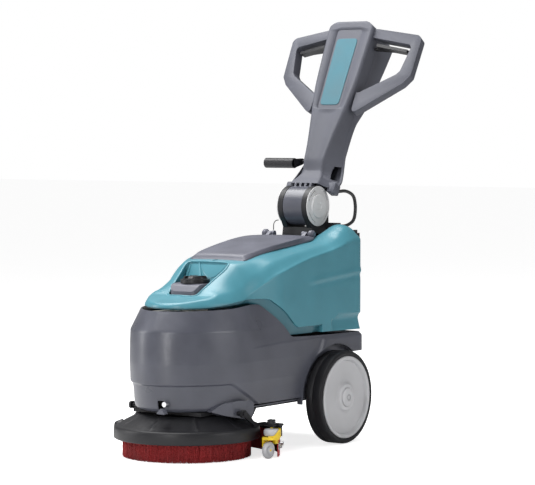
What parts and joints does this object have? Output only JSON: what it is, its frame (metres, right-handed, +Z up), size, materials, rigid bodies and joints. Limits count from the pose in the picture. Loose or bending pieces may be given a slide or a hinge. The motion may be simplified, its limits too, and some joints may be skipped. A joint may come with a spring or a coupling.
{
  "type": "floor scrubber machine",
  "caption": "Small walk-behind floor scrubber: disc brush under a round shroud, curved squeegee, two rear wheels, lift-off tank and a tall folding handle with side grips.",
  "frame": {"origin": "on the floor under the centre of the brush", "axes": "+X to the machine's left, +Y towards the back, +Z up"},
  "size_m": [0.58, 1.2927, 1.378],
  "materials": {
    "housing_grey": "fine satin texture",
    "tank_natural": "translucent natural",
    "cover_grey": "fine satin texture",
    "frame_black": "satin powder coat",
    "steel": "brushed",
    "black_plastic": "satin",
    "board_green": "semi-gloss",
    "chrome": "polished",
    "hose_black": "satin",
    "wheel_rubber": "matt",
    "wheel_grey": "satin",
    "bristle_red": "matt fibres",
    "blade_red": "satin",
    "bumper_yellow": "satin",
    "roller_grey": "satin",
    "tank_teal": "semi-gloss",
    "float_white": "satin",
    "button_silver": "semi-gloss"
  },
  "bodies": {
    "chassis": {"lower_housing": "housing_grey", "solution_tank": "tank_natural", "filler_panel": "cover_grey", "chassis_frame": "frame_black", "axle": "steel", "battery_pack": "black_plastic", "vacuum_motor": "black_plastic", "control_board": "board_green", "solution_valve": "black_plastic", "handle_yoke": "black_plastic", "pivot_shaft": "steel", "pivot_caps": "chrome", "front_latch_pin": "chrome", "tether_cord": "hose_black"},
    "wheel_left": {"tyre_left": "wheel_rubber", "rim_left": "wheel_grey", "hub_cap_left": "wheel_grey"},
    "wheel_right": {"tyre_right": "wheel_rubber", "rim_right": "wheel_grey", "hub_cap_right": "wheel_grey"},
    "deck": {"deck_shroud": "black_plastic", "brush_motor": "frame_black"},
    "brush": {"drive_hub": "steel", "brush_plate": "black_plastic", "bristles": "bristle_red"},
    "squeegee": {"squeegee_frame": "frame_black", "front_blade": "blade_red", "rear_blade": "blade_red", "blade_band": "steel", "wing_nuts": "steel", "bumper_left": "bumper_yellow", "bumper_right": "bumper_yellow", "suction_nozzle": "black_plastic", "suction_hose": "hose_black"},
    "guide_roller_left": {"guide_roller_left": "roller_grey"},
    "guide_roller_right": {"guide_roller_right": "roller_grey"},
    "caster_left": {"caster_left": "roller_grey"},
    "caster_right": {"caster_right": "roller_grey"},
    "height_knob_left": {"height_knob_left": "black_plastic"},
    "height_knob_right": {"height_knob_right": "black_plastic"},
    "tank": {"recovery_tank": "tank_teal", "drain_hose": "hose_black", "float_cage": "black_plastic", "lid_hinge_pins": "cover_grey"},
    "float": {"float_ball": "float_white"},
    "drain_cap": {"drain_cap": "black_plastic"},
    "lid": {"tank_lid": "cover_grey"},
    "fill_cap": {"fill_cap": "black_plastic"},
    "handle": {"handle_shell": "housing_grey", "rear_cover": "housing_grey", "handle_hub": "housing_grey", "front_panel": "tank_teal", "control_panel": "black_plastic", "handle_cable": "hose_black"},
    "trigger_left": {"trigger_left": "black_plastic"},
    "trigger_right": {"trigger_right": "black_plastic"},
    "lever": {"lift_lever": "black_plastic"},
    "power_button": {"power_button": "button_silver"},
    "brush_button": {"brush_button": "button_silver"},
    "water_button": {"water_button": "button_silver"}
  },
  "joints": [
    {"name": "wheel_left_spin", "type": "hinge", "parent": "chassis", "child": "wheel_left", "pos_m": [0.226, 0.514, 0.15], "axis": [1, 0, 0], "continuous": true},
    {"name": "wheel_right_spin", "type": "hinge", "parent": "chassis", "child": "wheel_right", "pos_m": [-0.226, 0.514, 0.15], "axis": [1, 0, 0], "continuous": true},
    {"name": "deck_float", "type": "slide", "parent": "chassis", "child": "deck", "axis": [0, 0, 1], "range_m": [-0.012, 0]},
    {"name": "brush_spin", "type": "hinge", "parent": "deck", "child": "brush", "pos_m": [0, 0, 0.09], "axis": [0, 0, 1], "continuous": true},
    {"name": "squeegee_lift", "type": "hinge", "parent": "chassis", "child": "squeegee", "pos_m": [0.218, 0, 0.143], "axis": [1, 0, 0], "range_deg": [0, 8], "deforming": ["suction_hose"]},
    {"name": "guide_roller_left_spin", "type": "hinge", "parent": "squeegee", "child": "guide_roller_left", "pos_m": [0.262, 0.088, 0.082], "axis": [0, 0, 1], "continuous": true},
    {"name": "guide_roller_right_spin", "type": "hinge", "parent": "squeegee", "child": "guide_roller_right", "pos_m": [-0.262, 0.088, 0.082], "axis": [0, 0, 1], "continuous": true},
    {"name": "caster_left_spin", "type": "hinge", "parent": "squeegee", "child": "caster_left", "pos_m": [0.259, 0.074, 0.027], "axis": [1, 0, 0], "continuous": true},
    {"name": "caster_right_spin", "type": "hinge", "parent": "squeegee", "child": "caster_right", "pos_m": [-0.259, 0.074, 0.027], "axis": [1, 0, 0], "continuous": true},
    {"name": "height_knob_left_turn", "type": "hinge", "parent": "squeegee", "child": "height_knob_left", "pos_m": [0.262, 0.088, 0.112], "axis": [0, 0, 1], "continuous": true},
    {"name": "height_knob_right_turn", "type": "hinge", "parent": "squeegee", "child": "height_knob_right", "pos_m": [-0.262, 0.088, 0.112], "axis": [0, 0, 1], "continuous": true},
    {"name": "tank_lift_off", "type": "slide", "parent": "chassis", "child": "tank", "axis": [0, 0, 1], "range_m": [0, 0.06], "deforming": ["tether_cord"]},
    {"name": "float_rise", "type": "slide", "parent": "tank", "child": "float", "axis": [0, 0, 1], "range_m": [0, 0.01]},
    {"name": "drain_cap_turn", "type": "hinge", "parent": "tank", "child": "drain_cap", "pos_m": [0.15, 0.71, 0.65], "axis": [0, 0, 1], "continuous": true},
    {"name": "lid_open", "type": "hinge", "parent": "tank", "child": "lid", "pos_m": [0.0715, 0.55, 0.67], "axis": [-1, 0, 0], "range_deg": [0, 85]},
    {"name": "fill_cap_turn", "type": "hinge", "parent": "chassis", "child": "fill_cap", "pos_m": [0, 0.044, 0.53], "axis": [0, 0, 1], "range_deg": [0, 90]},
    {"name": "handle_fold", "type": "hinge", "parent": "chassis", "child": "handle", "pos_m": [0, 0.634, 0.759], "axis": [-1, 0, 0], "range_deg": [-100, 20], "deforming": ["handle_cable"]},
    {"name": "trigger_left_pull", "type": "hinge", "parent": "handle", "child": "trigger_left", "pos_m": [0.15247, 0.94432, 1.27575], "axis": [0.9806, 0.1752, -0.0877], "range_deg": [0, 8], "stiffness_Nm_per_rad": 2},
    {"name": "trigger_right_pull", "type": "hinge", "parent": "handle", "child": "trigger_right", "pos_m": [-0.15247, 0.94432, 1.27575], "axis": [0.9806, -0.1752, 0.0877], "range_deg": [0, 8], "stiffness_Nm_per_rad": 2},
    {"name": "lever_pull", "type": "hinge", "parent": "handle", "child": "lever", "pos_m": [-0.07, 0.74589, 0.90428], "axis": [-1, 0, 0], "range_deg": [0, 55]},
    {"name": "power_button_press", "type": "slide", "parent": "handle", "child": "power_button", "axis": [0, -0.6441, -0.7649], "range_m": [0, 0.002], "stiffness_N_per_m": 400},
    {"name": "brush_button_press", "type": "slide", "parent": "handle", "child": "brush_button", "axis": [0, -0.6441, -0.7649], "range_m": [0, 0.002], "stiffness_N_per_m": 400},
    {"name": "water_button_press", "type": "slide", "parent": "handle", "child": "water_button", "axis": [0, -0.6441, -0.7649], "range_m": [0, 0.002], "stiffness_N_per_m": 400}
  ],
  "couplings": [
    {"joint": "squeegee_lift", "follows": "lever_pull", "ratio": 0.1455}
  ]
}
